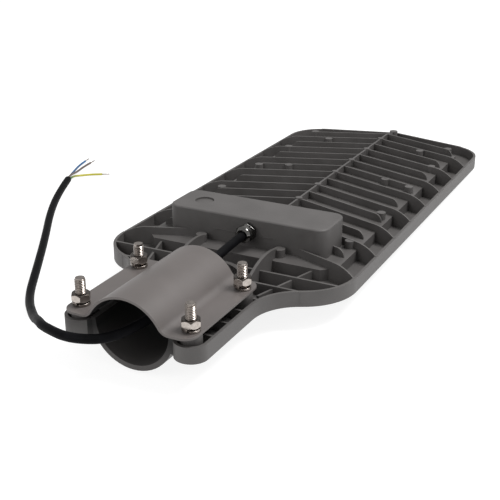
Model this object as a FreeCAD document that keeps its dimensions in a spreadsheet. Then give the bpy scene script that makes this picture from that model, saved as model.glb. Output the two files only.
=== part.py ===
import FreeCAD, Part
import math
import os

import Sketcher

# Street light head: a one-piece finned casting on a split pole clamp, in millimetres.
# The origin is on the pole's axis at the mouth of the clamp. X runs from the mouth to
# the far tip, Y to the left and Z up, so the lamps shine down.

Vec = FreeCAD.Vector
doc = FreeCAD.newDocument("street_light_head")

# Sizes
SIZES = {
    # Pole clamp
    "bore_radius": 30.0,
    "trough_wall": 4.0,
    "trough_length": 97.0,
    "bolt_first_x": 5.0,
    "bolt_step_x": 75.0,
    "bolt_half_span": 45.0,
    "ear_radius": 12.7,
    "boss_radius": 7.8,
    "boss_top": 3.6,
    # Casting in plan
    "flare_start_x": 71.5,
    "flare_radius": 39.6,
    "shoulder_radius": 47.5,
    "paddle_half_width": 108.0,
    "corner_radius": 39.0,
    "apex_x": 561.0,
    "apex_slope": 0.27,
    # Casting in height
    "base_z": -14.0,
    "rim_top": -1.5,
    "rim_wall": 2.4,
    "floor_thickness": 2.5,
    "plateau_top": -1.8,
    "plateau_skin": 2.5,
    "plateau_near_x": 151.5,
    "plateau_near_half": 77.0,
    "plateau_half_width": 87.8,
    "plateau_beyond": 4.0,
    # Cooling fins
    "fin_thickness": 1.6,
    "fin_slope": 0.37,
    "fin_top": 5.0,
    "fin_pitch": 44.8,
    "long_fin_first_x": 192.4,
    "first_fin_nearer": 4.4,
    "long_fin_shoulder": 86.0,
    "long_fin_foot": 106.0,
    "short_fin_offset": 22.4,
    "short_fin_half_width": 84.4,
    "spine_width": 2.0,
    "spine_top": 5.3,
    "spine_far_top": 0.0,
    "bump_radius": 3.2,
    "bump_top": 5.8,
    "end_bump_radius": 4.5,
    "end_bump_top": 2.8,
    "post_radius": 4.0,
    "post_top": 4.8,
    # Driver box
    "box_near_x": 169.4,
    "box_far_x": 214.5,
    "box_half_width": 73.0,
    "box_top": 23.6,
    "box_corner": 9.5,
    "box_edge_radius": 1.4,
    "box_wall": 2.6,
    "box_roof": 3.0,
    "box_bead": 0.6,
    "box_bead_z": 8.9,
    "box_bead_reach": 29.0,
    "dimple_x": 192.0,
    "dimple_y": 49.5,
    "dimple_radius": 8.25,
    "dimple_depth": 1.5,
    # Neck
    "neck_wall_outer": 35.0,
    "neck_wall": 2.5,
    "neck_wall_low": -0.5,
    "neck_wall_foot_x": 115.0,
    "neck_wall_bow_x": 134.0,
    "neck_wall_bow_z": 6.3,
    "neck_post_x": 162.5,
    "neck_post_y": 36.5,
    "neck_post_radius": 4.5,
    "rib_pitch": 22.0,
    "rib_thickness": 2.0,
    "rib_low_top": -3.8,
    "slant_length": 60.5,
    "slant_near": 5.7,
    "slant_far": 12.3,
    # Clamp saddle
    "saddle_radius": 33.0,
    "saddle_drop": 7.5,
    "saddle_sheet": 1.8,
    "saddle_fillet": 8.0,
    "saddle_near_x": -9.0,
    "saddle_length": 104.0,
    "saddle_half_width": 53.0,
    "saddle_corner": 10.0,
    # Bolts, nuts and spring washers
    "bolt_radius": 4.0,
    "bolt_flats": 13.0,
    "bolt_head_height": 5.2,
    "bolt_length": 34.7,
    "short_bolt_less": 1.4,
    "bolt_chamfer": 0.8,
    "bolt_clearance": 0.3,
    "flats_clearance": 0.4,
    "head_recess": 5.3,
    "nut_height": 6.0,
    "thread_clearance": 0.05,
    "washer_bore": 4.1,
    "washer_outer": 6.6,
    "washer_section": 2.0,
    "washer_rise": 1.1,
    "slack_washer_rise": 2.0,
    # Cable gland
    "gland_y": -5.0,
    "gland_z": 12.5,
    "gland_flats": 14.0,
    "gland_flange": 3.5,
    "gland_stem_radius": 5.6,
    "gland_stem_length": 5.5,
    "gland_thread_radius": 5.6,
    "gland_thread_length": 11.0,
    "gland_bore": 3.9,
    "seal_radius": 4.7,
    "seal_length": 5.0,
    "seal_proud": 1.6,
    "ring_thickness": 1.0,
    "ring_width": 1.2,
    "cap_reach": 3.4,
    "cap_hex_length": 4.0,
    "cap_gap": 0.4,
    "cap_bore": 4.0,
    "locknut_height": 3.5,
    "locknut_flats": 13.6,
    # Cable
    "cable_radius": 3.6,
    "core_radius": 1.1,
    "core_offset": 1.35,
    "tip_radius": 0.6,
    "tip_length": 8.0,
    # Underside seats
    "cover_sunk": 0.2,
    "cover_thickness": 3.0,
    "gasket_thickness": 1.6,
    "seat_clearance": 0.25,
    "screw_radius": 1.6,
    "pilot_clearance": 0.05,
    "pilot_depth": 6.0,
    "screw_length": 8.6,
    "screw_head_radius": 3.2,
    "screw_head_height": 1.8,
    "screw_hole": 1.9,
    "seat_corner": 4.0,
    # Lamp chamber
    "lamp_near_x": 228.0,
    "lamp_far_x": 497.5,
    "lamp_half_width": 85.0,
    "lamp_ledge": 8.0,
    "lens_screw_inset": 4.0,
    "board_thickness": 1.6,
    "board_inset": 2.5,
    "chip_side": 3.5,
    "chip_height": 0.8,
    "lamp_first_x": 277.0,
    "lamp_step_x": 38.0,
    "lamp_step_y": 36.0,
    "dome_radius": 11.0,
    "dome_height": 3.3,
    "lens_plate": 2.0,
    "lens_lift": 2.4,
    "lens_inset": 3.0,
    "lens_skirt": 2.0,
    "plug_length": 8.0,
    "plug_width": 10.0,
    "plug_height": 2.2,
    # Driver chamber
    "cover_near_x": 155.5,
    "cover_far_x": 220.0,
    "cover_half_width": 79.0,
    "cover_ledge": 8.0,
    "cover_screw_inset": 4.0,
    "driver_near_x": 182.0,
    "driver_far_x": 210.0,
    "driver_half_width": 50.0,
    "driver_height": 24.0,
    "tab_length": 11.0,
    "tab_width": 14.0,
    "tab_thickness": 2.0,
    "tab_boss_height": 6.0,
    "lead_radius": 0.9,
    "lead_hole": 1.6,
    "lead_x": 200.0,
    "grommet_flange": 3.0,
    "grommet_flange_thickness": 1.0,
}

LONG_FINS = 8
SHORT_FINS = 8
BUMPS = 6
LAMP_COLUMNS = 6
LAMP_ROWS = 4

sheet = doc.addObject("Spreadsheet::Sheet", "Values")
for row, (alias, number) in enumerate(SIZES.items(), start=1):
    sheet.set("A%d" % row, alias)
    sheet.set("B%d" % row, str(number))
    sheet.setAlias("B%d" % row, alias)
doc.recompute()


class Size(float):
    """A number that keeps the sheet formula which gives it."""

    def __new__(cls, number, formula):
        size = float.__new__(cls, number)
        size.formula = formula
        return size

    def __add__(self, other):
        return Size(float(self) + float(other), "(%s + %s)" % (self.formula, words(other)))

    def __radd__(self, other):
        return Size(float(other) + float(self), "(%s + %s)" % (words(other), self.formula))

    def __sub__(self, other):
        return Size(float(self) - float(other), "(%s - %s)" % (self.formula, words(other)))

    def __rsub__(self, other):
        return Size(float(other) - float(self), "(%s - %s)" % (words(other), self.formula))

    def __mul__(self, other):
        return Size(float(self) * float(other), "(%s * %s)" % (self.formula, words(other)))

    def __rmul__(self, other):
        return Size(float(other) * float(self), "(%s * %s)" % (words(other), self.formula))

    def __truediv__(self, other):
        return Size(float(self) / float(other), "(%s / %s)" % (self.formula, words(other)))

    def __neg__(self):
        return Size(-float(self), "(0 - %s)" % self.formula)


def words(value):
    """The formula of a size, or the plain number of anything else."""
    if isinstance(value, Size):
        return value.formula
    return "(%.9g)" % float(value)


class Sheet:
    """Reads each size back from the sheet by its name."""

    def __getattr__(self, alias):
        return Size(float(getattr(sheet, alias)), "Values.%s" % alias)


v = Sheet()


def bind(thing, name, value):
    """Sets a property and ties it to the sheet when the value came from it."""
    if "." not in name:
        setattr(thing, name, float(value))
    if isinstance(value, Size):
        thing.setExpression(name, value.formula)


def place(thing, x, y, z, rotation=None):
    """Places a piece and ties its three coordinates to the sheet."""
    turn = rotation if rotation is not None else FreeCAD.Rotation()
    thing.Placement = FreeCAD.Placement(Vec(float(x), float(y), float(z)), turn)
    for axis, value in (("x", x), ("y", y), ("z", z)):
        if isinstance(value, Size):
            thing.setExpression("Placement.Base.%s" % axis, value.formula)


ALONG_X = FreeCAD.Rotation(Vec(0, 1, 0), 90)

# Derived places
floor_top = v.base_z + v.floor_thickness
ceiling_z = v.plateau_top - v.plateau_skin
roof_z = v.box_top - v.box_roof
cover_bottom = v.base_z + v.cover_sunk
cover_top = cover_bottom + v.cover_thickness
seat_z = cover_top + v.gasket_thickness
trough_outer = v.bore_radius + v.trough_wall
neck_half_width = v.bolt_half_span + v.ear_radius
head_seat_z = v.base_z + v.head_recess
saddle_top = v.boss_top + v.saddle_sheet
bolt_places = [(v.bolt_first_x + v.bolt_step_x * i, v.bolt_half_span * side)
               for i in (0, 1) for side in (-1, 1)]

slope_length = math.sqrt(1.0 + v.apex_slope ** 2)
fin_half = v.fin_thickness * math.sqrt(1.0 + v.fin_slope ** 2) / 2
flare_turn = math.acos(1.0 - (v.paddle_half_width - neck_half_width)
                       / (v.flare_radius + v.shoulder_radius))
shoulder_x = v.flare_start_x + (v.flare_radius + v.shoulder_radius) * math.sin(flare_turn)
short_fin_first_x = v.long_fin_first_x + v.short_fin_offset
bump_first_x = v.long_fin_first_x + v.fin_pitch * 2
last_fin_x = short_fin_first_x + v.fin_pitch * (SHORT_FINS - 1)


def half_width(x):
    """Half the width of the casting at a distance from the mouth."""
    flare_end = v.flare_start_x + v.flare_radius * math.sin(flare_turn)
    if x <= v.flare_start_x:
        return float(neck_half_width)
    if x <= flare_end:
        drop = math.sqrt(v.flare_radius ** 2 - (x - v.flare_start_x) ** 2)
        return float(neck_half_width + v.flare_radius) - drop
    if x <= shoulder_x:
        rise = math.sqrt(v.shoulder_radius ** 2 - (shoulder_x - x) ** 2)
        return float(v.paddle_half_width - v.shoulder_radius) + rise
    return float(v.paddle_half_width)


def long_fin_x(index, y):
    """Where the middle of a long fin stands at a distance from the spine."""
    return v.long_fin_first_x + v.fin_pitch * index - v.fin_slope * abs(y)


def short_fin_x(index, y):
    """Where the middle of a short fin stands at a distance from the spine."""
    return short_fin_first_x + v.fin_pitch * index - v.fin_slope * abs(y)


def post_places():
    """The round posts stand on the fins they belong to."""
    spots = []
    for index, y, shift in ((2, 81.0, 6.6), (4, 52.5, -1.5), (4, 80.5, -3.3),
                            (5, 80.5, 25.0), (6, 53.0, 18.0), (7, 78.0, 3.0)):
        for side in (-1, 1):
            spots.append((float(short_fin_x(index, y)) + shift, y * side))
    return spots


# Sketch helpers
PLANES = {"XY": "XY_Plane", "XZ": "XZ_Plane", "YZ": "YZ_Plane"}


def new_body(label):
    body = doc.addObject("PartDesign::Body", label)
    body.Label = label
    return body


def sketch_on(body, plane, offset=0.0):
    """A sketch on one of the body's own planes, moved along that plane's normal."""
    sketch = body.newObject("Sketcher::SketchObject", "Sketch")
    for item in body.Origin.OriginFeatures:
        if item.Role == PLANES[plane]:
            sketch.AttachmentSupport = [(item, "")]
    sketch.MapMode = "FlatFace"
    sketch.AttachmentOffset = FreeCAD.Placement(Vec(0, 0, float(offset)), FreeCAD.Rotation())
    if isinstance(offset, Size):
        sketch.setExpression("AttachmentOffset.Base.z", offset.formula)
    return sketch


def flat(point):
    return Vec(float(point[0]), float(point[1]), 0)


def draw(sketch, path):
    """Draws a closed path. Each step is an end point, or a point on an arc and its end."""
    start = path[0]
    here = start
    for step in path[1:] + [start]:
        if len(step) == 4:
            middle = (step[0], step[1])
            end = (step[2], step[3])
            arc = Part.Arc(flat(here), flat(middle), flat(end))
            sketch.addGeometry(arc, False)
        else:
            end = step
            if (flat(here) - flat(end)).Length > 1e-6:
                sketch.addGeometry(Part.LineSegment(flat(here), flat(end)), False)
        here = end


def draw_circles(sketch, places, radius):
    for x, y in places:
        index = sketch.addGeometry(Part.Circle(flat((x, y)), Vec(0, 0, 1), float(radius)), False)
        constraint = sketch.addConstraint(Sketcher.Constraint("Radius", index, float(radius)))
        if isinstance(radius, Size):
            sketch.setExpression("Constraints[%d]" % constraint, radius.formula)


def draw_polygon(sketch, x, y, flats, sides=6, turn=0.0):
    """A regular polygon with its size across the flats."""
    reach = float(flats) / 2 / math.cos(math.pi / sides)
    points = [(x + reach * math.cos(turn + 2 * math.pi * i / sides),
               y + reach * math.sin(turn + 2 * math.pi * i / sides)) for i in range(sides)]
    draw(sketch, points)


def on_arc(centre, radius, degrees):
    turn = math.radians(degrees)
    return (centre[0] + radius * math.cos(turn), centre[1] + radius * math.sin(turn))


def rounded(x0, y0, x1, y1, radius):
    """A rectangle with round corners as a path."""
    x0, y0, x1, y1, radius = [float(n) for n in (x0, y0, x1, y1, radius)]
    path = [(x0 + radius, y0), (x1 - radius, y0)]
    for cx, cy, start in ((x1 - radius, y0 + radius, -90), (x1 - radius, y1 - radius, 0),
                          (x0 + radius, y1 - radius, 90), (x0 + radius, y0 + radius, 180)):
        path.append(on_arc((cx, cy), radius, start))
        path.append(on_arc((cx, cy), radius, start + 45) + on_arc((cx, cy), radius, start + 90))
    tidy = [path[0]]
    for step in path[1:]:
        end = step[-2:]
        if len(step) == 4 or (flat(tidy[-1][-2:]) - flat(end)).Length > 1e-6:
            tidy.append(step)
    return tidy


def pad(body, sketch, length, reverse=False):
    feature = body.newObject("PartDesign::Pad", "Pad")
    feature.Profile = sketch
    bind(feature, "Length", length)
    feature.Reversed = reverse
    feature.Refine = False
    sketch.Visibility = False
    body.Tip = feature
    return feature


def pocket(body, sketch, length, reverse=False):
    feature = body.newObject("PartDesign::Pocket", "Pocket")
    feature.Profile = sketch
    bind(feature, "Length", length)
    feature.Reversed = reverse
    feature.Refine = False
    sketch.Visibility = False
    body.Tip = feature
    return feature


def pad_path(body, plane, offset, path, length):
    sketch = sketch_on(body, plane, offset)
    draw(sketch, path)
    return pad(body, sketch, length)


def repeat_along_x(body, feature, step, count):
    """Copies of a feature at an even pitch along the lamp."""
    pattern = body.newObject("PartDesign::LinearPattern", "Pattern")
    pattern.Originals = [feature]
    for item in body.Origin.OriginFeatures:
        if item.Role == "X_Axis":
            pattern.Direction = (item, [""])
    bind(pattern, "Length", step * (count - 1))
    pattern.Occurrences = count
    pattern.Refine = False
    body.Tip = pattern
    return pattern


def fillet_edges(body, base, chosen, radius):
    """Rounds the edges of a feature that a test picks."""
    doc.recompute()
    names = ["Edge%d" % (i + 1) for i, edge in enumerate(base.Shape.Edges) if chosen(edge)]
    fillet = body.newObject("PartDesign::Fillet", "Fillet")
    fillet.Base = (base, names)
    bind(fillet, "Radius", radius)
    fillet.Refine = False
    body.Tip = fillet
    return fillet


# Primitive helpers
def block(name, x0, x1, y0, y1, z0, z1):
    """A box between two corners, tied to the sheet."""
    thing = doc.addObject("Part::Box", name)
    bind(thing, "Length", x1 - x0)
    bind(thing, "Width", y1 - y0)
    bind(thing, "Height", z1 - z0)
    place(thing, x0, y0, z0)
    return thing


def rod(name, radius, length, x, y, z, rotation=None):
    thing = doc.addObject("Part::Cylinder", name)
    bind(thing, "Radius", radius)
    bind(thing, "Height", length)
    place(thing, x, y, z, rotation)
    return thing


def cone(name, radius_low, radius_high, length, x, y, z, rotation=None):
    thing = doc.addObject("Part::Cone", name)
    bind(thing, "Radius1", radius_low)
    bind(thing, "Radius2", radius_high)
    bind(thing, "Height", length)
    place(thing, x, y, z, rotation)
    return thing


def hexagon(name, flats, length, x, y, z, rotation=None):
    thing = doc.addObject("Part::Prism", name)
    thing.Polygon = 6
    bind(thing, "Circumradius", flats / math.sqrt(3.0))
    bind(thing, "Height", length)
    place(thing, x, y, z, rotation)
    return thing


def joined(name, pieces):
    thing = doc.addObject("Part::MultiFuse", name)
    thing.Shapes = pieces
    return thing


def without(name, base, tools):
    """The base with every tool cut away."""
    tool = tools[0] if len(tools) == 1 else joined(name + "_tool", tools)
    thing = doc.addObject("Part::Cut", name)
    thing.Base = base
    thing.Tool = tool
    return thing


def group(name, pieces):
    """Separate identical solids that share one node."""
    thing = doc.addObject("Part::Compound", name)
    thing.Links = pieces
    return thing


def shaped(name, shape):
    """A free shape that neither features nor primitives give."""
    thing = doc.addObject("Part::Feature", name)
    thing.Shape = shape
    return thing


def slab(name, x0, x1, half, corner, z0, z1):
    """A flat plate with round corners."""
    body = new_body(name)
    pad_path(body, "XY", z0, rounded(x0, -half, x1, half, corner), z1 - z0)
    return body


def ring_slab(name, x0, x1, half, corner, ledge, z0, z1, holes, hole_radius):
    """A flat frame with screw holes, for a gasket."""
    outer = slab(name + "_outer", x0, x1, half, corner, z0, z1)
    inner = block(name + "_inner", x0 + ledge, x1 - ledge, -(half - ledge), half - ledge,
                  z0 - 1.0, z1 + 1.0)
    tools = [inner]
    for i, (x, y) in enumerate(holes):
        tools.append(rod("%s_hole_%d" % (name, i), hole_radius, z1 - z0 + 2.0, x, y, z0 - 1.0))
    return without(name, outer, tools)


def countersunk(name, x, y, face_z):
    """A countersunk screw driven up from the underside."""
    head = cone(name + "_head", v.screw_head_radius, v.screw_radius, v.screw_head_height,
                x, y, face_z)
    shank = rod(name + "_shank", v.screw_radius, v.screw_length - v.screw_head_height,
                x, y, face_z + v.screw_head_height)
    return joined(name, [head, shank])


def sink_tools(name, x, y, face_z, depth):
    """The hole and the countersink that a countersunk screw needs."""
    clearance = v.pilot_clearance
    hole = rod(name + "_through", v.screw_hole, depth + 2.0, x, y, face_z - 1.0)
    seat = cone(name + "_sink", v.screw_head_radius + clearance, v.screw_radius + clearance,
                v.screw_head_height, x, y, face_z)
    return [hole, seat]


# Screw places on the underside
lens_rows = v.lamp_half_width - v.lens_screw_inset
lens_screw_places = []
for side in (-1, 1):
    for x in (v.lamp_near_x + v.lens_screw_inset, post_places()[1][0], post_places()[5][0],
              post_places()[7][0], v.lamp_far_x - v.lens_screw_inset):
        lens_screw_places.append((x, lens_rows * side))
    for x in (v.lamp_near_x + v.lens_screw_inset, v.lamp_far_x - v.lens_screw_inset):
        lens_screw_places.append((x, v.lamp_step_y * 0.75 * side))

cover_rows = v.cover_half_width - v.cover_screw_inset
cover_screw_places = []
for side in (-1, 1):
    for x in (v.cover_near_x + v.cover_screw_inset, v.cover_far_x - v.cover_screw_inset):
        cover_screw_places.append((x, cover_rows * side))
        cover_screw_places.append((x, cover_rows / 3 * side))

board_screw_places = [(bump_first_x, 0.0), (bump_first_x + v.fin_pitch * 4, 0.0)]
board_screw_places += [post_places()[i] for i in (2, 3, 8, 9)]
tab_x = (v.driver_near_x + v.driver_far_x) / 2
tab_y = v.driver_half_width + v.tab_length / 2
tab_top = roof_z - v.tab_boss_height
pilot_radius = v.screw_radius + v.pilot_clearance


def outline(inset):
    """The plan of the casting, drawn in by an inset, from the mouth round to the mouth."""
    t = float(inset)
    bolt = (float(v.bolt_first_x), float(v.bolt_half_span))
    lobe = float(v.ear_radius) - t
    meet = bolt[1] - math.sqrt(lobe ** 2 - (bolt[0] - t) ** 2)
    meet_angle = math.degrees(math.atan2(meet - bolt[1], t - bolt[0])) % 360
    neck = float(neck_half_width)
    flare = (float(v.flare_start_x), neck + v.flare_radius)
    shoulder = (float(shoulder_x), float(v.paddle_half_width - v.shoulder_radius))
    turn = math.degrees(flare_turn)
    corner_y = float(v.paddle_half_width - v.corner_radius)
    corner = (v.apex_x - v.apex_slope * corner_y - v.corner_radius * slope_length, corner_y)
    edge_angle = math.degrees(math.atan(v.apex_slope))
    near = [(t, meet)]
    near.append(on_arc(bolt, lobe, (meet_angle + 90) / 2) + on_arc(bolt, lobe, 90))
    near.append((flare[0], neck - t))
    near.append(on_arc(flare, v.flare_radius + t, turn / 2 - 90)
                + on_arc(flare, v.flare_radius + t, turn - 90))
    near.append(on_arc(shoulder, v.shoulder_radius - t, 90 + turn / 2)
                + on_arc(shoulder, v.shoulder_radius - t, 90))
    near.append(on_arc(corner, v.corner_radius - t, 90))
    near.append(on_arc(corner, v.corner_radius - t, (90 + edge_angle) / 2)
                + on_arc(corner, v.corner_radius - t, edge_angle))
    near.append((v.apex_x - t * slope_length, 0.0))
    back = []
    ends = [step[-2:] for step in near]
    for index in range(len(near) - 1, 0, -1):
        end = ends[index - 1]
        if len(near[index]) == 4:
            middle = near[index][:2]
            back.append((middle[0], -middle[1], end[0], -end[1]))
        else:
            back.append((end[0], -end[1]))
    return near + back


def chevron(root_x, reach):
    """The plan of one swept fin across the lamp."""
    back = float(v.fin_slope) * float(reach)
    front = float(root_x) + fin_half
    rear = float(root_x) - fin_half
    reach = float(reach)
    return [(front, 0.0), (front - back, reach), (rear - back, reach),
            (rear, 0.0), (rear - back, -reach), (front - back, -reach)]


# Housing casting
housing = new_body("housing")
pad_path(housing, "XY", v.base_z, outline(0.0), v.rim_top - v.base_z)
tray = sketch_on(housing, "XY", v.rim_top)
draw(tray, outline(v.rim_wall))
pocket(housing, tray, v.rim_top - floor_top)
near_cut = v.plateau_near_x + v.plateau_half_width - v.plateau_near_half
far_tip = last_fin_x + v.plateau_beyond
far_cut = far_tip - v.fin_slope * v.plateau_half_width
pad_path(housing, "XY", floor_top,
         [(v.plateau_near_x, -v.plateau_near_half), (near_cut, -v.plateau_half_width),
          (far_cut, -v.plateau_half_width), (far_tip, 0.0), (far_cut, v.plateau_half_width),
          (near_cut, v.plateau_half_width), (v.plateau_near_x, v.plateau_near_half)],
         v.plateau_top - floor_top)


def trim_fin_ends(shoulder, foot, bottom, near_x):
    """Rounds the fin ends down from their top, seen along the lamp."""
    drop = float(v.fin_top - bottom)
    run = float(foot - shoulder)
    radius = (run ** 2 + drop ** 2) / (2 * drop)
    centre = (float(shoulder), float(v.fin_top) - radius)
    half_turn = math.degrees(math.asin(min(1.0, run / radius))) / 2
    above = float(v.fin_top) + 2
    beyond = float(v.paddle_half_width) + 4
    sketch = sketch_on(housing, "YZ", v.apex_x)
    for side in (-1, 1):
        middle = on_arc(centre, radius, 90 - half_turn)
        draw(sketch, [(shoulder * side, above), (shoulder * side, v.fin_top),
                      (middle[0] * side, middle[1], float(foot) * side, float(bottom)),
                      (beyond * side, float(bottom)), (beyond * side, above)])
    return pocket(housing, sketch, v.apex_x - near_x)


def pad_fins(first_x, reach, count):
    """A row of swept fins at an even pitch."""
    sketch = sketch_on(housing, "XY", floor_top)
    for index in range(count):
        draw(sketch, chevron(first_x + v.fin_pitch * index, reach))
    return pad(housing, sketch, v.fin_top - floor_top)


pad_fins(short_fin_first_x, v.short_fin_half_width, SHORT_FINS)
trim_fin_ends(v.short_fin_half_width - (v.fin_top - v.plateau_top),
              v.short_fin_half_width, v.plateau_top, v.plateau_near_x)
pad_fins(v.long_fin_first_x + v.fin_pitch, v.paddle_half_width - v.rim_wall / 2, LONG_FINS - 1)
first_fin_tip = v.long_fin_first_x - v.first_fin_nearer
first_fin_end_x = first_fin_tip - v.fin_slope * v.paddle_half_width
pad_fins(first_fin_tip, half_width(first_fin_end_x) - v.rim_wall / 2, 1)
trim_fin_ends(v.long_fin_shoulder, v.long_fin_foot, v.rim_top, first_fin_end_x - v.rim_wall)

# Spine, bumps and posts
pad_path(housing, "XZ", -v.spine_width / 2,
         [(v.box_far_x - 1.0, floor_top), (v.apex_x - v.rim_wall, floor_top),
          (v.apex_x - v.rim_wall, v.spine_far_top), (last_fin_x, v.spine_top),
          (v.box_far_x - 1.0, v.spine_top)], v.spine_width)
bump = sketch_on(housing, "XY", floor_top)
draw_circles(bump, [(bump_first_x, 0.0)], v.bump_radius)
repeat_along_x(housing, pad(housing, bump, v.bump_top - floor_top), v.fin_pitch, BUMPS)
end_bump = sketch_on(housing, "XY", floor_top)
draw_circles(end_bump, [(bump_first_x + v.fin_pitch * BUMPS, 0.0)], v.end_bump_radius)
pad(housing, end_bump, v.end_bump_top - floor_top)
posts = sketch_on(housing, "XY", floor_top)
draw_circles(posts, post_places(), v.post_radius)
draw_circles(posts, [(long_fin_x(1, 80.5) - 2.0, 80.5 * side) for side in (-1, 1)],
             v.post_radius)
pad(housing, posts, v.post_top - floor_top)
neck_posts = sketch_on(housing, "XY", floor_top)
draw_circles(neck_posts, [(v.neck_post_x, v.neck_post_y * side) for side in (-1, 1)],
             v.neck_post_radius)
pad(housing, neck_posts, v.fin_top - floor_top)

# Driver box
box_pad = pad_path(housing, "XY", v.plateau_top,
                   rounded(v.box_near_x, -v.box_half_width, v.box_far_x, v.box_half_width,
                           v.box_corner), v.box_top - v.plateau_top)


def on_box_top(edge):
    return all(abs(vertex.Z - v.box_top) < 1e-4 for vertex in edge.Vertexes)


fillet_edges(housing, box_pad, on_box_top, v.box_edge_radius)
beads = sketch_on(housing, "XY", v.box_bead_z)
bead_gap = v.gland_flats / 2 + 3.0
for low, high in ((-v.box_bead_reach, v.gland_y - bead_gap),
                  (v.gland_y + bead_gap, v.box_bead_reach)):
    draw(beads, [(v.box_near_x - v.box_bead, low), (v.box_near_x + v.box_bead, low),
                 (v.box_near_x + v.box_bead, high), (v.box_near_x - v.box_bead, high)])
pad(housing, beads, v.box_bead)
dimple = sketch_on(housing, "XY", v.box_top)
draw_circles(dimple, [(v.dimple_x, v.dimple_y)], v.dimple_radius)
pocket(housing, dimple, v.dimple_depth)

# Neck walls and ribs
wall_near_x = v.trough_length - 1.0
for side in (-1, 1):
    top_side = v.neck_wall_outer if side == 1 else v.neck_wall - v.neck_wall_outer
    pad_path(housing, "XZ", -top_side,
             [(wall_near_x, floor_top), (v.neck_post_x, floor_top),
              (v.neck_post_x, v.fin_top),
              (v.neck_wall_bow_x, v.neck_wall_bow_z, v.neck_wall_foot_x, v.neck_wall_low),
              (wall_near_x, v.neck_wall_low)], v.neck_wall)

for top, numbers in ((v.rim_top, (1, 2)), (v.rib_low_top, (3, 4, 5, 6))):
    ribs = sketch_on(housing, "XY", floor_top)
    for number in numbers:
        rib_x = float(v.plateau_near_x - v.rib_pitch * number)
        reach = half_width(rib_x) - v.rim_wall / 2
        half = v.rib_thickness / 2
        draw(ribs, [(rib_x - half, -reach), (rib_x + half, -reach),
                    (rib_x + half, reach), (rib_x - half, reach)])
    pad(housing, ribs, top - floor_top)

slants = sketch_on(housing, "XY", floor_top)
half = v.rib_thickness / 2
for side in (-1, 1):
    near = (v.plateau_near_x - v.slant_length, (neck_half_width - v.slant_near) * side)
    far = (v.plateau_near_x + 1.5, (neck_half_width + v.slant_far) * side)
    draw(slants, [(near[0], near[1] - half), (far[0], far[1] - half),
                  (far[0], far[1] + half), (near[0], near[1] + half)])
pad(housing, slants, v.rib_low_top - floor_top)

bosses = sketch_on(housing, "XY", v.base_z)
draw_circles(bosses, bolt_places, v.boss_radius)
pad(housing, bosses, v.boss_top - v.base_z)

# Trough for the pole
trough = sketch_on(housing, "YZ", 0.0)
draw(trough, [(-trough_outer, 0.0), (0.0, -trough_outer, float(trough_outer), 0.0)])
pad(housing, trough, v.trough_length)


def ball(kind, radius, low, high):
    """A ball or half ball at the blind end of the trough."""
    thing = housing.newObject("PartDesign::" + kind, kind)
    bind(thing, "Radius", radius)
    thing.Angle1 = low
    thing.Angle2 = high
    for item in housing.Origin.OriginFeatures:
        if item.Role == "XY_Plane":
            thing.AttachmentSupport = [(item, "")]
    thing.MapMode = "FlatFace"
    thing.AttachmentOffset = FreeCAD.Placement(Vec(float(v.trough_length), 0, 0),
                                               FreeCAD.Rotation())
    thing.setExpression("AttachmentOffset.Base.x", v.trough_length.formula)
    thing.Refine = False
    housing.Tip = thing
    return thing


ball("AdditiveSphere", trough_outer, -90, 0)
bore = sketch_on(housing, "YZ", v.trough_length)
draw_circles(bore, [(0.0, 0.0)], v.bore_radius)
pocket(housing, bore, v.trough_length + 1.0)
ball("SubtractiveSphere", v.bore_radius, -90, 90)

# Bolt holes and hexagon recesses
recesses = sketch_on(housing, "XY", v.base_z)
for bolt_x, bolt_y in bolt_places:
    draw_polygon(recesses, bolt_x, bolt_y, v.bolt_flats + v.flats_clearance)
pocket(housing, recesses, v.head_recess, True)
holes = sketch_on(housing, "XY", v.base_z)
draw_circles(holes, bolt_places, v.bolt_radius + v.bolt_clearance)
pocket(housing, holes, v.boss_top - v.base_z + 1.0, True)


def sink(spans, corner, bottom, top):
    """Recesses from the underside with round corners."""
    sketch = sketch_on(housing, "XY", bottom)
    for x0, x1, half in spans:
        draw(sketch, rounded(x0, -half, x1, half, corner))
    return pocket(housing, sketch, top - bottom, True)


# Lamp chamber, driver chamber and driver box from below
sink([(v.lamp_near_x, v.lamp_far_x, v.lamp_half_width),
      (v.cover_near_x, v.cover_far_x, v.cover_half_width)], v.seat_corner, v.base_z, seat_z)
sink([(v.lamp_near_x + v.lamp_ledge, v.lamp_far_x - v.lamp_ledge,
       v.lamp_half_width - v.lamp_ledge),
      (v.cover_near_x + v.cover_ledge, v.cover_far_x - v.cover_ledge,
       v.cover_half_width - v.cover_ledge)], v.seat_corner, seat_z, ceiling_z)
sink([(v.box_near_x + v.box_wall, v.box_far_x - v.box_wall, v.box_half_width - v.box_wall)],
     v.box_corner - v.box_wall, ceiling_z, roof_z)

tab_bosses = sketch_on(housing, "XY", tab_top)
draw_circles(tab_bosses, [(tab_x, tab_y * side) for side in (-1, 1)], v.post_radius)
pad(housing, tab_bosses, v.tab_boss_height + 0.5)

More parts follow.
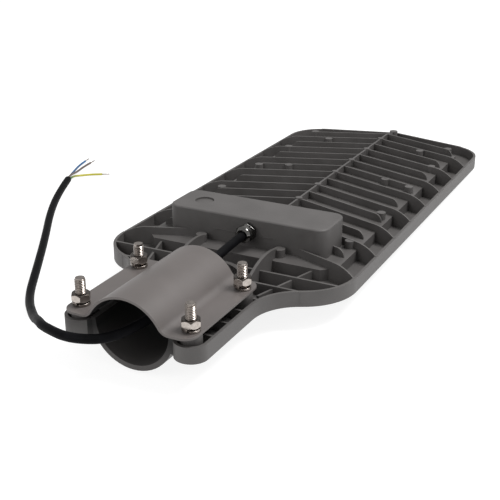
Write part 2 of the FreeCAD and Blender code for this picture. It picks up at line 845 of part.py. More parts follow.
# Screw and cable holes
pilots = sketch_on(housing, "XY", seat_z)
draw_circles(pilots, lens_screw_places + cover_screw_places, pilot_radius)
pocket(housing, pilots, v.pilot_depth, True)
board_pilots = sketch_on(housing, "XY", ceiling_z)
draw_circles(board_pilots, board_screw_places, pilot_radius)
pocket(housing, board_pilots, v.pilot_depth, True)
tab_pilots = sketch_on(housing, "XY", tab_top)
draw_circles(tab_pilots, [(tab_x, tab_y * side) for side in (-1, 1)], pilot_radius)
pocket(housing, tab_pilots, v.pilot_depth, True)
gland_hole = sketch_on(housing, "YZ", v.box_near_x + v.box_wall + 1.0)
draw_circles(gland_hole, [(v.gland_y, v.gland_z)], v.gland_thread_radius + 0.2)
pocket(housing, gland_hole, v.box_wall + 2.0)
plug_x = v.lamp_near_x + v.lamp_ledge + v.board_inset + 3.5
board_bottom = ceiling_z - v.board_thickness
lead_z = board_bottom - v.plug_height / 2
lead_hole = sketch_on(housing, "YZ", v.lamp_near_x + v.lamp_ledge + 1.0)
draw_circles(lead_hole, [(0.0, lead_z)], v.lead_hole)
last_cut = pocket(housing, lead_hole,
                  v.lamp_near_x + v.lamp_ledge - v.cover_far_x + v.cover_ledge + 2.0)
last_cut.Refine = True

# Clamp saddle
saddle = new_body("clamp_saddle")
bend_z = saddle_top + v.saddle_fillet
bend_y = math.sqrt((v.saddle_radius + v.saddle_fillet) ** 2 - (bend_z + v.saddle_drop) ** 2)
bend_angle = math.degrees(math.atan2(bend_z + v.saddle_drop, bend_y))
crown = (0.0, -float(v.saddle_drop))


def saddle_side(radius, fillet, flange_z):
    """One face of the pressed sheet, from the left flange over the crown to the right."""
    bend = (bend_y, float(bend_z))
    to_crown = 180 + bend_angle
    left = on_arc(bend, fillet, to_crown)
    left_middle = on_arc(bend, fillet, (to_crown + 270) / 2)
    half = float(v.saddle_half_width)
    flange = float(flange_z)
    return [(half, flange), (bend_y, flange), left_middle + left,
            on_arc(crown, radius, 90) + (-left[0], left[1]),
            (-left_middle[0], left_middle[1], -bend_y, flange), (-half, flange)]


top_face = saddle_side(v.saddle_radius, v.saddle_fillet, saddle_top)
low_face = saddle_side(v.saddle_radius - v.saddle_sheet, v.saddle_fillet + v.saddle_sheet,
                       v.boss_top)
back_path = [low_face[-1]]
ends = [step[-2:] for step in low_face]
for index in range(len(low_face) - 1, 0, -1):
    end = ends[index - 1]
    if len(low_face[index]) == 4:
        back_path.append(low_face[index][:2] + end)
    else:
        back_path.append(end)
saddle_pad = pad_path(saddle, "YZ", v.saddle_near_x, top_face + back_path, v.saddle_length)


def on_flange_corner(edge):
    first, last = edge.Vertexes[0], edge.Vertexes[-1]
    upright = abs(first.X - last.X) < 1e-4 and abs(first.Y - last.Y) < 1e-4
    return upright and abs(abs(first.Y) - v.saddle_half_width) < 1e-4


fillet_edges(saddle, saddle_pad, on_flange_corner, v.saddle_corner)
saddle_holes = sketch_on(saddle, "XY", saddle_top)
draw_circles(saddle_holes, bolt_places, v.bolt_radius + v.bolt_clearance + 0.2)
pocket(saddle, saddle_holes, v.saddle_sheet)

# Clamp bolts, nuts and spring washers
bolts = []
nuts = []
washers = []
washer_turn = 345.0
NUT_TURN = FreeCAD.Rotation(Vec(0, 0, 1), 30)
for i, (x, y) in enumerate(bolt_places):
    length = v.bolt_length - (v.short_bolt_less if i == 3 else 0.0)
    rise = v.washer_rise if i < 2 else v.slack_washer_rise
    nut_z = saddle_top + v.washer_section + rise
    head = hexagon("bolt_head_%d" % i, v.bolt_flats, v.bolt_head_height, x, y,
                   head_seat_z - v.bolt_head_height)
    shank = rod("bolt_shank_%d" % i, v.bolt_radius, length - v.bolt_chamfer, x, y,
                head_seat_z)
    point = cone("bolt_point_%d" % i, v.bolt_radius, v.bolt_radius - v.bolt_chamfer,
                 v.bolt_chamfer, x, y, head_seat_z + length - v.bolt_chamfer)
    bolts.append(joined("bolt_%d" % i, [head, shank, point]))
    flats = hexagon("nut_flats_%d" % i, v.bolt_flats, v.nut_height, x, y, nut_z, NUT_TURN)
    face = v.bolt_flats / 2 - 0.2
    skirt = v.bolt_flats / math.sqrt(3.0) + 4.0
    crowned = doc.addObject("Part::MultiCommon", "nut_crowned_%d" % i)
    crowned.Shapes = [flats,
                      cone("nut_crown_%d" % i, skirt, face, v.nut_height, x, y, nut_z),
                      cone("nut_sole_%d" % i, face, skirt, v.nut_height, x, y, nut_z)]
    thread = rod("nut_bore_%d" % i, v.bolt_radius + v.thread_clearance, v.nut_height + 2.0,
                 x, y, nut_z - 1.0)
    nuts.append(without("nut_%d" % i, crowned, [thread]))
    middle = (v.washer_bore + v.washer_outer) / 2
    pitch = rise * 360.0 / washer_turn
    helix = Part.makeHelix(float(pitch), float(rise), float(middle))
    low = [Vec(float(v.washer_bore), 0, 0), Vec(float(v.washer_outer), 0, 0),
           Vec(float(v.washer_outer), 0, float(v.washer_section)),
           Vec(float(v.washer_bore), 0, float(v.washer_section))]
    section = Part.makePolygon(low + [low[0]])
    coil = Part.Wire(helix).makePipeShell([section], True, True)
    washer = shaped("washer_%d" % i, coil)
    place(washer, x, y, saddle_top, FreeCAD.Rotation(Vec(0, 0, 1), 200))
    washers.append(washer)
group("clamp_bolts", bolts)
group("clamp_nuts", nuts)
group("spring_washers", washers)

# Cable gland through the near wall of the driver box
flange_x = v.box_near_x - v.ring_thickness - v.gland_flange
stem_x = flange_x - v.gland_stem_length
gy = v.gland_y
gz = v.gland_z
whole_gland = v.gland_stem_length + v.gland_flange + v.gland_thread_length
gland_solid = joined("gland_solid", [
    hexagon("gland_hex", v.gland_flats, v.gland_flange, flange_x, gy, gz, ALONG_X),
    rod("gland_stem", v.gland_stem_radius, v.gland_stem_length, stem_x, gy, gz, ALONG_X),
    rod("gland_thread", v.gland_thread_radius, v.gland_thread_length,
        flange_x + v.gland_flange, gy, gz, ALONG_X)])
without("gland_body", gland_solid, [
    rod("gland_way", v.gland_bore, whole_gland + 2.0, stem_x - 1.0, gy, gz, ALONG_X),
    rod("gland_seat", v.seal_radius, v.seal_length - v.seal_proud + 1.0, stem_x - 1.0, gy,
        gz, ALONG_X)])
without("gland_o_ring",
        rod("ring_outer", v.gland_thread_radius + v.ring_width, v.ring_thickness,
            v.box_near_x - v.ring_thickness, gy, gz, ALONG_X),
        [rod("ring_inner", v.gland_thread_radius + v.thread_clearance, v.ring_thickness + 2.0,
             v.box_near_x - v.ring_thickness - 1.0, gy, gz, ALONG_X)])
without("gland_locknut",
        hexagon("locknut_hex", v.locknut_flats, v.locknut_height, v.box_near_x + v.box_wall,
                gy, gz, ALONG_X),
        [rod("locknut_bore", v.gland_thread_radius + v.thread_clearance,
             v.locknut_height + 2.0, v.box_near_x + v.box_wall - 1.0, gy, gz, ALONG_X)])
cap_near_x = stem_x - v.cap_reach
cap_far_x = flange_x - v.cap_gap
seal_near_x = stem_x - v.seal_proud
dome = doc.addObject("Part::Common", "cap_dome")
dome.Base = rod("cap_round", v.gland_flats / 2, cap_far_x - cap_near_x, cap_near_x, gy, gz,
                ALONG_X)
dome_ball = doc.addObject("Part::Sphere", "cap_ball")
bind(dome_ball, "Radius", v.gland_flats / 2 + 0.6)
place(dome_ball, cap_near_x + v.gland_flats * 0.4, gy, gz)
dome.Tool = dome_ball
cap_solid = joined("cap_solid", [
    dome,
    hexagon("cap_hex", v.gland_flats, v.cap_hex_length, cap_far_x - v.cap_hex_length, gy, gz,
            ALONG_X)])
without("gland_cap_nut", cap_solid, [
    rod("cap_way", v.cap_bore, cap_far_x - cap_near_x + 2.0, cap_near_x - 1.0, gy, gz, ALONG_X),
    rod("cap_seat", v.gland_stem_radius + v.thread_clearance,
        cap_far_x - seal_near_x + 1.0, seal_near_x, gy, gz, ALONG_X)])
without("gland_seal",
        rod("seal_outer", v.seal_radius - v.thread_clearance, v.seal_length, seal_near_x, gy,
            gz, ALONG_X),
        [rod("seal_bore", v.cable_radius + v.thread_clearance, v.seal_length + 2.0,
             seal_near_x - 1.0, gy, gz, ALONG_X)])


# Mains cable and its cores
def route_wire(points, label):
    """Straight runs joined by arcs that touch them, with the radius of each bend."""
    pieces = []
    radii = []
    here = points[0]
    for before, corner, after in zip(points[:-2], points[1:-1], points[2:]):
        arriving = corner - before
        leaving = after - corner
        run = 0.45 * min(arriving.Length, leaving.Length)
        half_turn = arriving.getAngle(leaving) / 2
        arriving.normalize()
        leaving.normalize()
        start = corner - arriving * run
        end = corner + leaving * run
        radius = run / math.tan(half_turn)
        inward = leaving - arriving
        inward.normalize()
        middle = corner + inward * (radius / math.cos(half_turn) - radius)
        pieces.append(Part.LineSegment(here, start).toShape())
        pieces.append(Part.Arc(start, middle, end).toShape())
        radii.append(radius)
        here = end
    pieces.append(Part.LineSegment(here, points[-1]).toShape())
    print(label, "bend radii", ["%.1f" % radius for radius in radii])
    return Part.Wire(pieces)


def tube_along(points, radius, label):
    """A round solid along a route, checked against its length and section."""
    wire = route_wire(points, label)
    direction = points[1] - points[0]
    circle = Part.Circle(points[0], direction, float(radius)).toShape()
    tube = wire.makePipeShell([Part.Wire([circle])], True, True)
    wanted = math.pi * float(radius) ** 2 * wire.Length
    print(label, "length %.1f, volume %.4f of length by section" % (wire.Length,
                                                                    tube.Volume / wanted))
    return tube


FLOOR_AT_TROUGH = float(-trough_outer)
FLOOR_SLOPE = float(v.base_z + trough_outer) / float(v.apex_x - v.trough_length)
FLOOR_ROLL = 0.0163


def on_ground(x, y, lift):
    """A point a lift above the ground that the lamp lies on."""
    return Vec(x, y, FLOOR_AT_TROUGH + FLOOR_SLOPE * (x - 97.0) + FLOOR_ROLL * y + lift)


cable_lift = float(v.cable_radius) + 0.1
CABLE_POINTS = [
    Vec(float(v.driver_near_x), float(gy), float(gz)),
    Vec(float(v.driver_near_x) - 70.0, float(gy), float(gz)),
    Vec(42.7, -15.6, 7.4),
    Vec(-8.9, 5.0, -7.1),
    Vec(-23.3, 34.5, -8.1),
    Vec(-13.2, 66.6, -10.0),
    Vec(-1.0, 80.5, -13.5),
    Vec(15.8, 99.8, -22.5),
    on_ground(52.0, 135.0, cable_lift),
    on_ground(100.0, 164.0, cable_lift),
    on_ground(153.0, 196.5, cable_lift),
    on_ground(205.0, 230.5, cable_lift),
    on_ground(251.0, 255.0, cable_lift),
    on_ground(285.0, 269.0, cable_lift),
]
cable = shaped("mains_cable", tube_along(CABLE_POINTS, v.cable_radius, "mains cable"))

jacket_end = CABLE_POINTS[-1]
jacket_way = (CABLE_POINTS[-1] - CABLE_POINTS[-2]).normalize()
jacket_side = jacket_way.cross(Vec(0, 0, 1)).normalize()
jacket_up = jacket_side.cross(jacket_way).normalize()
core_lift = float(v.core_radius) + 0.3
CORE_ENDS = {
    "core_brown": (90, 10.0, [(312.0, 277.5), (329.0, 281.0), (343.0, 281.5)]),
    "core_blue": (210, 10.0, [(313.0, 282.0), (331.0, 288.0), (345.0, 290.0)]),
    "core_earth": (330, 11.0, [(306.5, 266.8), (314.5, 257.8), (319.0, 249.2)]),
}
tips = []
for name, (angle, straight, spots) in CORE_ENDS.items():
    turn = math.radians(angle)
    spread = jacket_side * math.cos(turn) + jacket_up * math.sin(turn)
    start = jacket_end + spread * float(v.core_offset)
    points = [start, start + jacket_way * straight]
    points += [on_ground(x, y, core_lift) for x, y in spots]
    shaped(name, tube_along(points, v.core_radius, name))
    heading = (points[-1] - points[-2]).normalize()
    tips.append(shaped(name + "_tip", Part.makeCylinder(float(v.tip_radius),
                                                        float(v.tip_length),
                                                        points[-1], heading)))
group("core_tips", tips)

# Lamp chamber contents
chamber_near = v.lamp_near_x + v.lamp_ledge
chamber_far = v.lamp_far_x - v.lamp_ledge
chamber_half = v.lamp_half_width - v.lamp_ledge
board_near = chamber_near + v.board_inset
board_far = chamber_far - v.board_inset
board_half = chamber_half - v.board_inset
board = block("board_sheet", board_near, board_far, -board_half, board_half, board_bottom,
              ceiling_z)
without("led_board", board, [
    rod("board_hole_%d" % i, v.screw_hole, v.board_thickness + 2.0, x, y, board_bottom - 1.0)
    for i, (x, y) in enumerate(board_screw_places)])

lamp_places = []
for column in range(LAMP_COLUMNS):
    for line in range(LAMP_ROWS):
        lamp_places.append((v.lamp_first_x + v.lamp_step_x * column,
                            v.lamp_step_y * (line - (LAMP_ROWS - 1) / 2)))
group("led_chips", [
    block("chip_%d" % i, x - v.chip_side / 2, x + v.chip_side / 2, y - v.chip_side / 2,
          y + v.chip_side / 2, board_bottom - v.chip_height, board_bottom)
    for i, (x, y) in enumerate(lamp_places)])
group("board_screws", [
    joined("board_screw_%d" % i, [
        rod("board_screw_head_%d" % i, v.screw_radius + 1.2, v.screw_head_height, x, y,
            board_bottom - v.screw_head_height),
        rod("board_screw_shank_%d" % i, v.screw_radius, v.board_thickness + v.pilot_depth - 1.0,
            x, y, board_bottom)])
    for i, (x, y) in enumerate(board_screw_places)])
block("board_connector", plug_x, plug_x + v.plug_length, -v.plug_width / 2, v.plug_width / 2,
      board_bottom - v.plug_height, board_bottom)

# Lead from the driver to the board
driver_bottom = roof_z - v.driver_height
lead_bend = driver_bottom - lead_z
lead_pieces = [
    Part.Arc(Vec(float(v.lead_x), 0, float(driver_bottom)),
             Vec(float(v.lead_x + lead_bend * (1 - math.sqrt(0.5))), 0,
                 float(driver_bottom - lead_bend * math.sqrt(0.5))),
             Vec(float(v.lead_x + lead_bend), 0, float(lead_z))).toShape(),
    Part.LineSegment(Vec(float(v.lead_x + lead_bend), 0, float(lead_z)),
                     Vec(float(plug_x), 0, float(lead_z))).toShape()]
lead_circle = Part.Circle(Vec(float(v.lead_x), 0, float(driver_bottom)), Vec(0, 0, 1),
                          float(v.lead_radius)).toShape()
shaped("led_lead", Part.Wire(lead_pieces).makePipeShell([Part.Wire([lead_circle])], True, True))
wall_x = v.cover_far_x - v.cover_ledge
without("lead_grommet", joined("grommet_solid", [
    rod("grommet_flange_disc", v.grommet_flange / 2, v.grommet_flange_thickness,
        wall_x - v.grommet_flange_thickness, 0.0, lead_z, ALONG_X),
    rod("grommet_sleeve", v.lead_hole - v.thread_clearance, v.lamp_ledge, wall_x, 0.0, lead_z,
        ALONG_X)]),
        [rod("grommet_bore", v.lead_radius + v.thread_clearance, v.lamp_ledge + 6.0,
             wall_x - 3.0, 0.0, lead_z, ALONG_X)])

# Lens panel, its gasket and screws
gap = v.seat_clearance
lens_near = v.lamp_near_x + gap
lens_far = v.lamp_far_x - gap
lens_half = v.lamp_half_width - gap
skirt_near = chamber_near + v.lens_inset
skirt_far = chamber_far - v.lens_inset
skirt_half = chamber_half - v.lens_inset
lens_top = cover_top + v.lens_lift
lens_solid = joined("lens_solid", [
    slab("lens_flange", lens_near, lens_far, lens_half, v.seat_corner, cover_bottom,
         cover_top),
    block("lens_raised", skirt_near, skirt_far, -skirt_half, skirt_half, cover_bottom,
          lens_top)])
lens_tools = [block("lens_hollow", skirt_near + v.lens_skirt, skirt_far - v.lens_skirt,
                    v.lens_skirt - skirt_half, skirt_half - v.lens_skirt, cover_bottom - 1.0,
                    lens_top - v.lens_plate)]
for i, (x, y) in enumerate(lens_screw_places):
    lens_tools += sink_tools("lens_screw_way_%d" % i, x, y, cover_bottom, v.cover_thickness)
lens_shell = without("lens_shell", lens_solid, lens_tools)
ball_radius = (v.dome_radius * v.dome_radius / v.dome_height + v.dome_height) / 2
dome_z = lens_top - v.lens_plate
domes = [lens_shell]
for i, (x, y) in enumerate(lamp_places):
    drop = doc.addObject("Part::Sphere", "lens_dome_%d" % i)
    bind(drop, "Radius", ball_radius)
    drop.Angle1 = -90
    drop.Angle2 = -math.degrees(math.asin((ball_radius - v.dome_height) / ball_radius))
    place(drop, x, y, dome_z + ball_radius - v.dome_height)
    domes.append(drop)
joined("lens_panel", domes)
ring_slab("lens_gasket", lens_near, lens_far, lens_half, v.seat_corner, v.lamp_ledge - gap,
          cover_top, seat_z, lens_screw_places, v.screw_hole)
group("lens_screws", [countersunk("lens_screw_%d" % i, x, y, cover_bottom)
                      for i, (x, y) in enumerate(lens_screw_places)])

# Driver, its cover, gasket and screws
case = block("case_block", v.driver_near_x, v.driver_far_x, -v.driver_half_width,
             v.driver_half_width, driver_bottom, roof_z)
tabs = [block("case_tab_%d" % i, tab_x - v.tab_width / 2, tab_x + v.tab_width / 2, y0, y1,
              tab_top - v.tab_thickness, tab_top)
        for i, (y0, y1) in enumerate((
            (-v.driver_half_width - v.tab_length, -v.driver_half_width + 1.0),
            (v.driver_half_width - 1.0, v.driver_half_width + v.tab_length)))]
without("driver_case", joined("case_solid", [case] + tabs), [
    rod("tab_hole_%d" % i, v.screw_hole, v.tab_thickness + 2.0, tab_x, tab_y * side,
        tab_top - v.tab_thickness - 1.0) for i, side in enumerate((-1, 1))])
group("driver_screws", [
    joined("driver_screw_%d" % i, [
        rod("driver_screw_head_%d" % i, v.screw_radius + 1.2, v.screw_head_height, tab_x,
            tab_y * side, tab_top - v.tab_thickness - v.screw_head_height),
        rod("driver_screw_shank_%d" % i, v.screw_radius, v.tab_thickness + v.pilot_depth - 1.0,
            tab_x, tab_y * side, tab_top - v.tab_thickness)])
    for i, side in enumerate((-1, 1))])
cover_near = v.cover_near_x + gap
cover_far = v.cover_far_x - gap
cover_half = v.cover_half_width - gap
cover_tools = []
for i, (x, y) in enumerate(cover_screw_places):
    cover_tools += sink_tools("cover_screw_way_%d" % i, x, y, cover_bottom, v.cover_thickness)
without("cover_plate", slab("cover_sheet", cover_near, cover_far, cover_half, v.seat_corner,
                            cover_bottom, cover_top), cover_tools)
ring_slab("cover_gasket", cover_near, cover_far, cover_half, v.seat_corner,
          v.cover_ledge - gap, cover_top, seat_z, cover_screw_places, v.screw_hole)
group("cover_screws", [countersunk("cover_screw_%d" % i, x, y, cover_bottom)
                       for i, (x, y) in enumerate(cover_screw_places)])

# Named nodes
NODES = [
    "housing", "clamp_saddle", "clamp_bolts", "clamp_nuts", "spring_washers",
    "gland_body", "gland_o_ring", "gland_locknut", "gland_cap_nut", "gland_seal",
    "mains_cable", "core_brown", "core_blue", "core_earth", "core_tips",
    "led_board", "led_chips", "board_screws", "board_connector", "led_lead", "lead_grommet",
    "lens_panel", "lens_gasket", "lens_screws",
    "driver_case", "driver_screws", "cover_plate", "cover_gasket", "cover_screws",
]

doc.recompute()
for thing in doc.Objects:
    if "Invalid" in thing.State or "Error" in thing.State:
        raise RuntimeError("%s did not build: %s" % (thing.Name, thing.State))
os.makedirs("parts", exist_ok=True)
for name in NODES:
    node = doc.getObject(name)
    node.Label = name
    if node.Shape.isNull() or not node.Shape.isValid():
        raise RuntimeError("%s has no valid shape" % name)
    box = node.Shape.BoundBox
    print("%-16s solids %2d volume %10.1f  x %7.1f %7.1f  y %7.1f %7.1f  z %6.1f %6.1f" % (
        name, len(node.Shape.Solids), node.Shape.Volume, box.XMin, box.XMax, box.YMin,
        box.YMax, box.ZMin, box.ZMax))
    node.Shape.exportStep("parts/%s.step" % name)
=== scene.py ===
# %% [markdown]
# # A cast street light head, dressed for its picture
# The solids come from the part's own model. This lesson keeps their sizes and places, and gives
# them what a solid model leaves out: soft casting edges, screw threads, a flexible cable and
# finishes with grain and colour of their own. All lengths are in metres.

# %% Load the model and keep its box
import math

import bmesh
import bpy
from mathutils import Matrix, Vector


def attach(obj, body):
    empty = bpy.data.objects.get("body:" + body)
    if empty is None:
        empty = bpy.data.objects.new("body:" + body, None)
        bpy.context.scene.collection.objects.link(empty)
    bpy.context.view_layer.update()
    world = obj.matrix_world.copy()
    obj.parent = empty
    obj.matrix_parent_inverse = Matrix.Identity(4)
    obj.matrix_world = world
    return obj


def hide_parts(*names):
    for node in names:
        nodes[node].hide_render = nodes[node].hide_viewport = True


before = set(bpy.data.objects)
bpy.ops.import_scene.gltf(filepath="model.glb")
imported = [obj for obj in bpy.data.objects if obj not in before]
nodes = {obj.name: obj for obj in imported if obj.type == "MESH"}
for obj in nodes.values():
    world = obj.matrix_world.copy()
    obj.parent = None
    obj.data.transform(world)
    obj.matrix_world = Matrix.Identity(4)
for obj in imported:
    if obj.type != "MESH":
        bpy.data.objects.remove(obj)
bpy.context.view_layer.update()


def add_object(name, data):
    """Makes an object from its data and links it to the scene."""
    made = bpy.data.objects.new(name, data)
    bpy.context.scene.collection.objects.link(made)
    return made


# %% [markdown]
# ## The camera
# The photograph looks down on the mouth of the clamp from the front left. A long lens keeps the
# fins nearly parallel. The camera is aimed with a direction, so that its roll stays level.

# %% Camera
LENS_MM = 68.84
SENSOR_MM = 36.0
CAMERA_SPOT = (-0.48804, -0.33928, 0.30183)
LOOK_SIDE = math.radians(26.885)
LOOK_DOWN = math.radians(22.57)

camera_data = bpy.data.cameras.new("camera")
camera_data.sensor_width = SENSOR_MM
camera_data.lens = LENS_MM
camera = add_object("camera", camera_data)
camera.location = CAMERA_SPOT
look = Vector((math.cos(LOOK_DOWN) * math.cos(LOOK_SIDE),
               math.cos(LOOK_DOWN) * math.sin(LOOK_SIDE), -math.sin(LOOK_DOWN)))
camera.rotation_euler = look.to_track_quat("-Z", "Y").to_euler()
bpy.context.scene.camera = camera
print("camera looks along", tuple(round(n, 3) for n in look))

# %% [markdown]
# ## The ground
# The head lies on the round bottom of its clamp and on its far edge, so the ground is a plane
# that leans a little in the head's own frame. Everything that lies on it asks on_ground for its
# height.

# %% Ground plane
CLAMP_END_X = 0.097
GROUND_AT_CLAMP = -0.034
GROUND_RISE = 0.0195
GROUND_RUN = 0.464
GROUND_SLOPE = GROUND_RISE / GROUND_RUN
GROUND_ROLL = 0.0163


def on_ground(x, y, lift):
    """A point at a lift above the ground."""
    height = GROUND_AT_CLAMP + GROUND_SLOPE * (x - CLAMP_END_X) + GROUND_ROLL * y
    return Vector((x, y, height + lift))


print("the ground leans by", round(math.degrees(math.atan(GROUND_SLOPE)), 2), "degrees")

# %% [markdown]
# ## The free cable
# The cable leaves the driver through the gland, runs under the saddle, turns out of the mouth and
# lies in a wide bow on the ground. A NURBS curve of order three glides inside its control points,
# as a stiff cable does, and the curve's own bevel gives it its thickness.

# %% A smooth cord through its route points
def lay_cord(name, points, radius):
    """A round cord that rides on the head, from a list of route points."""
    line = bpy.data.curves.new(name, "CURVE")
    line.dimensions = "3D"
    spline = line.splines.new("NURBS")
    spline.points.add(len(points) - 1)
    for knot, point in zip(spline.points, points):
        knot.co = (point[0], point[1], point[2], 1.0)
        knot.radius = radius
    spline.order_u = 3
    spline.use_endpoint_u = True
    spline.resolution_u = 14
    line.bevel_depth = 1.0
    line.bevel_resolution = 7
    line.use_fill_caps = True
    cord = add_object(name, line)
    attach(cord, "root")
    return cord


def line_of(cord):
    """The points along a cord's own line, read from its curve without thickness."""
    data = cord.data
    depth = data.bevel_depth
    data.bevel_depth = 0.0
    bare = bpy.data.meshes.new_from_object(cord)
    data.bevel_depth = depth
    points = [vertex.co.copy() for vertex in bare.vertices]
    bpy.data.meshes.remove(bare)
    return points


def length_of(points):
    """The length of a line through its points."""
    return sum((b - a).length for a, b in zip(points[:-1], points[1:]))


# %% The mains cable
CABLE_RADIUS = 0.0036
CABLE_LIFT = CABLE_RADIUS + 0.0001
cable_points = [
    Vector((0.182, -0.005, 0.0125)),
    Vector((0.112, -0.005, 0.0125)),
    Vector((0.0427, -0.0156, 0.0074)),
    Vector((-0.0089, 0.005, -0.0064)),
    Vector((-0.0233, 0.0345, -0.0074)),
    Vector((-0.0132, 0.0666, -0.0094)),
    Vector((-0.001, 0.0805, -0.0135)),
    Vector((0.0158, 0.0998, -0.0225)),
    on_ground(0.052, 0.135, CABLE_LIFT),
    on_ground(0.100, 0.164, CABLE_LIFT),
    on_ground(0.153, 0.1965, CABLE_LIFT),
    on_ground(0.205, 0.2305, CABLE_LIFT),
    on_ground(0.251, 0.255, CABLE_LIFT),
    on_ground(0.285, 0.269, CABLE_LIFT),
]
cable = lay_cord("mains_cable_jacket", cable_points, CABLE_RADIUS)
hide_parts("mains_cable")
cable_line = line_of(cable)
print("cable length", round(length_of(cable_line), 4))

# %% [markdown]
# ## Three cores and their bare ends
# Three insulated cores fan out of the cut jacket, and each is stripped at its end. The copper is
# a small bundle of strands, so every tip is a few thin rods round a middle one.

# %% The cores
CORE_RADIUS = 0.0011
CORE_LIFT = CORE_RADIUS + 0.0003
CORE_FROM_MIDDLE = 0.00135
jacket_end = cable_points[-1]
jacket_way = (cable_points[-1] - cable_points[-2]).normalized()
jacket_side = jacket_way.cross(Vector((0, 0, 1))).normalized()
jacket_up = jacket_side.cross(jacket_way).normalized()

# Each core has its angle round the jacket's middle in degrees, the length of its straight start,
# and its places on the ground.
core_routes = {
    "core_brown": (90, 0.010, [(0.312, 0.2775), (0.329, 0.281), (0.343, 0.2815)]),
    "core_blue": (210, 0.010, [(0.313, 0.282), (0.331, 0.288), (0.345, 0.290)]),
    "core_earth": (330, 0.011, [(0.3065, 0.2668), (0.3145, 0.2578), (0.319, 0.2492)]),
}
cores = {}
core_ends = {}
for name, (angle, straight, spots) in core_routes.items():
    turn = math.radians(angle)
    way_out = jacket_side * math.cos(turn) + jacket_up * math.sin(turn)
    start = jacket_end + way_out * CORE_FROM_MIDDLE
    points = [start, start + jacket_way * straight]
    points += [on_ground(x, y, CORE_LIFT) for x, y in spots]
    cores[name] = lay_cord(name + "_sheath", points, CORE_RADIUS)
    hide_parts(name)
    core_ends[name] = (points[-1], (points[-1] - points[-2]).normalized())
    print(name, "length", round(length_of(line_of(cores[name])), 4))

# %% The stripped tips
STRIPPED_LENGTH = 0.008
OUTER_STRANDS = 6
STRAND_RADIUS = 0.00020
STRAND_END_RADIUS = 0.00018
STRAND_SPACING = 0.00040


def strand_bundle(name, start, heading):
    """Thin strands side by side along a heading, six of them round a middle one."""
    mesh = bpy.data.meshes.new(name)
    bundle = bmesh.new()
    turn = heading.to_track_quat("Z", "Y").to_matrix().to_4x4()
    for index in range(OUTER_STRANDS + 1):
        angle = math.radians(360 / OUTER_STRANDS * index)
        spread = 0.0 if index == OUTER_STRANDS else STRAND_SPACING
        offset = Vector((spread * math.cos(angle), spread * math.sin(angle), STRIPPED_LENGTH / 2))
        place = Matrix.Translation(start) @ turn @ Matrix.Translation(offset)
        bmesh.ops.create_cone(bundle, cap_ends=True, segments=8, radius1=STRAND_RADIUS,
                              radius2=STRAND_END_RADIUS, depth=STRIPPED_LENGTH, matrix=place)
    for face in bundle.faces:
        face.smooth = True
    bundle.to_mesh(mesh)
    bundle.free()
    tip = add_object(name, mesh)
    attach(tip, "root")
    return tip


tips = {}
for name, (end, heading) in core_ends.items():
    tips[name] = strand_bundle(name + "_strands", end, heading)
    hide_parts("core_tips")
print("stripped tips", len(tips))

for name, core in cores.items():
    length_of(line_of(core))

# %% [markdown]
# ## Soft casting edges
# A real casting has no razor edges: the mould rounds them and the paint rounds them further, and
# those thin highlights tell the eye that the part is cast. The model's mesh is copied, its flat
# triangles are joined back into whole faces, and a Bevel modifier rounds what is left. A Weighted
# Normal modifier then lets the large faces decide the shading, so they stay flat to the eye.

# %% A softened copy of a node
SAME_POINT = 0.000002
FLAT_ANGLE = math.radians(0.6)
SHARP_ANGLE = math.radians(32.0)


def softened(name, node, width):
    """Copies a node, joins its flat faces and rounds its edges."""
    mesh = nodes[node].data.copy()
    mesh.name = name
    work = bmesh.new()
    work.from_mesh(mesh)
    bmesh.ops.remove_doubles(work, verts=work.verts, dist=SAME_POINT)
    bmesh.ops.dissolve_limit(work, angle_limit=FLAT_ANGLE, verts=work.verts, edges=work.edges,
                             delimit={"NORMAL"})
    for face in work.faces:
        face.smooth = True
    for edge in work.edges:
        edge.smooth = edge.calc_face_angle(0.0) < SHARP_ANGLE
    work.to_mesh(mesh)
    work.free()
    mesh.materials.clear()
    piece = add_object(name, mesh)
    rounding = piece.modifiers.new("rounding", "BEVEL")
    rounding.width = width
    rounding.segments = 2
    rounding.limit_method = "ANGLE"
    rounding.angle_limit = SHARP_ANGLE
    rounding.use_clamp_overlap = True
    evened = piece.modifiers.new("even shading", "WEIGHTED_NORMAL")
    evened.keep_sharp = True
    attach(piece, "root")
    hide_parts(node)
    print(name, "faces", len(mesh.polygons))
    return piece


casting = softened("finned_casting", "housing", width=0.00045)
saddle = softened("pressed_saddle", "clamp_saddle", width=0.0004)
nuts = softened("plated_nuts", "clamp_nuts", width=0.00022)
washers = softened("split_washers", "spring_washers", width=0.00018)
cap_nut = softened("gland_cap", "gland_cap_nut", width=0.0005)
gland = softened("gland_barrel", "gland_body", width=0.0002)
